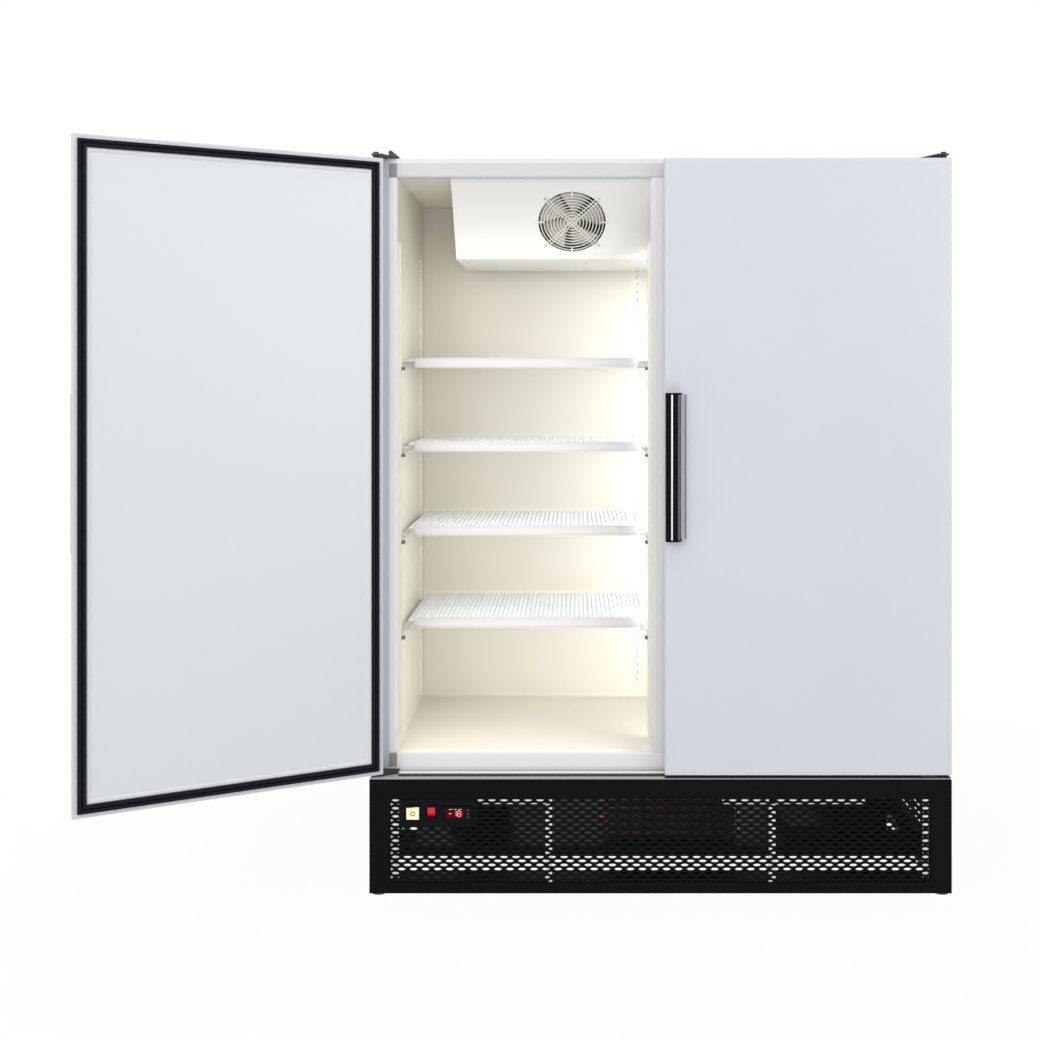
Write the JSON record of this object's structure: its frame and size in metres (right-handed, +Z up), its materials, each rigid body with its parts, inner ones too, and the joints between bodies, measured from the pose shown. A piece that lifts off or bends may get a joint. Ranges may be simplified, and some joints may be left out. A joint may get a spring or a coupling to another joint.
{
  "type": "commercial upright freezer cabinet",
  "caption": "Upright commercial freezer with two hinged insulated doors, wire shelves, a sloped evaporator cover with fans and a black machine compartment with slotted grille.",
  "frame": {"origin": "on the floor under the middle of the cabinet, at the centre foot's underside", "axes": "+X to the right seen from the front, -Y out of the front, +Z up"},
  "size_m": [2.3092, 1.0368, 2.0547],
  "materials": {
    "white_paint": "white gloss paint on sheet steel",
    "galvanised": "plain galvanised sheet",
    "foam": "foamed polyurethane, sealed in",
    "liner_cream": "cream-white painted sheet",
    "break_plastic": "pale extruded plastic",
    "zinc": "zinc-plated steel",
    "coated_wire": "white coated wire",
    "price_plastic": "translucent lilac-white plastic",
    "cover_white": "white painted sheet",
    "aluminium": "plain aluminium",
    "guard_wire": "pale coated wire",
    "motor_grey": "dark grey paint",
    "fan_black": "black moulded plastic",
    "blade_grey": "pale grey coated blades",
    "lamp_lens": "frosted lens",
    "black_paint": "black satin paint",
    "foot_rubber": "black rubber",
    "dark_fins": "dark coated fins",
    "ledge_grey": "grey painted steel",
    "copper": "bare copper tube",
    "control_black": "black moulded plastic",
    "key_grey": "grey rubber-like key",
    "rocker_red": "red translucent rocker",
    "rocker_cream": "cream lit rocker",
    "hinge_black": "black painted steel",
    "gasket_black": "black ribbed seal",
    "panel_white": "white door lining",
    "handle_black": "black moulded grip"
  },
  "bodies": {
    "cabinet": {"left_side_panel": "white_paint", "right_side_panel": "white_paint", "top_panel": "white_paint", "back_panel": "galvanised", "floor_pan": "galvanised", "insulation": "foam", "inner_liner": "liner_cream", "face_rails": "white_paint", "centre_post": "white_paint", "thermal_break": "break_plastic", "pilasters": "zinc", "shelf_runners": "zinc", "left_shelf_1": "coated_wire", "left_shelf_2": "coated_wire", "left_shelf_3": "coated_wire", "left_shelf_4": "coated_wire", "right_shelves": "coated_wire", "price_rails": "price_plastic", "evaporator_cover": "cover_white", "evaporator_coil": "aluminium", "drip_tray": "aluminium", "fan_guards": "guard_wire", "fan_motors": "motor_grey", "lamp_housing": "cover_white", "lamp_tube": "lamp_lens", "base_frame": "black_paint", "feet": "foot_rubber", "base_side_panels": "black_paint", "fascia": "black_paint", "intake_grille": "black_paint", "hinge_rail": "ledge_grey", "compressor": "black_paint", "condenser_coil": "dark_fins", "fan_shroud": "black_paint", "refrigerant_pipes": "copper", "electrical_box": "control_black", "cable_gland": "control_black", "evaporation_tray": "control_black", "control_plate": "control_black", "temperature_controller": "control_black", "top_hinges": "hinge_black", "bottom_hinges": "hinge_black"},
    "left_door": {"left_door_skin": "white_paint", "left_door_core": "foam", "left_door_panel": "panel_white", "left_door_gasket": "gasket_black", "left_door_handle": "handle_black"},
    "right_door": {"right_door_skin": "white_paint", "right_door_core": "foam", "right_door_panel": "panel_white", "right_door_gasket": "gasket_black", "right_door_handle": "handle_black"},
    "evaporator_fan_left": {"evaporator_fan_left": "blade_grey"},
    "evaporator_fan_right": {"evaporator_fan_right": "blade_grey"},
    "condenser_fan": {"condenser_fan": "fan_black"},
    "power_switch": {"power_switch": "rocker_red"},
    "light_switch": {"light_switch": "rocker_cream"},
    "set_key": {"set_key": "key_grey"},
    "up_key": {"up_key": "key_grey"},
    "down_key": {"down_key": "key_grey"}
  },
  "joints": [
    {"name": "left_door_hinge", "type": "hinge", "parent": "cabinet", "child": "left_door", "pos_m": [-0.7845, -0.325, 1.174], "axis": [0, 0, -1], "range_deg": [-155, 10]},
    {"name": "right_door_hinge", "type": "hinge", "parent": "cabinet", "child": "right_door", "pos_m": [0.7845, -0.325, 1.174], "axis": [0, 0, 1], "range_deg": [0, 165]},
    {"name": "evaporator_fan_left_spin", "type": "hinge", "parent": "cabinet", "child": "evaporator_fan_left", "pos_m": [-0.243, -0.18532, 1.86617], "axis": [0, -0.8041, -0.5945], "continuous": true},
    {"name": "evaporator_fan_right_spin", "type": "hinge", "parent": "cabinet", "child": "evaporator_fan_right", "pos_m": [0.243, -0.18532, 1.86617], "axis": [0, -0.8041, -0.5945], "continuous": true},
    {"name": "condenser_fan_spin", "type": "hinge", "parent": "cabinet", "child": "condenser_fan", "pos_m": [0.12, 0.044, 0.154], "axis": [0, -1, 0], "continuous": true},
    {"name": "power_switch_rock", "type": "hinge", "parent": "cabinet", "child": "power_switch", "pos_m": [-0.627, -0.3585, 0.226], "axis": [-1, 0, 0], "range_deg": [0, 14]},
    {"name": "light_switch_rock", "type": "hinge", "parent": "cabinet", "child": "light_switch", "pos_m": [-0.678, -0.3585, 0.226], "axis": [-1, 0, 0], "range_deg": [0, 14]},
    {"name": "up_key_press", "type": "slide", "parent": "cabinet", "child": "up_key", "axis": [0, 1, 0], "range_m": [0, 0.0008], "stiffness_N_per_m": 400},
    {"name": "set_key_press", "type": "slide", "parent": "cabinet", "child": "set_key", "axis": [0, 1, 0], "range_m": [0, 0.0008], "stiffness_N_per_m": 400},
    {"name": "down_key_press", "type": "slide", "parent": "cabinet", "child": "down_key", "axis": [0, 1, 0], "range_m": [0, 0.0008], "stiffness_N_per_m": 400}
  ]
}
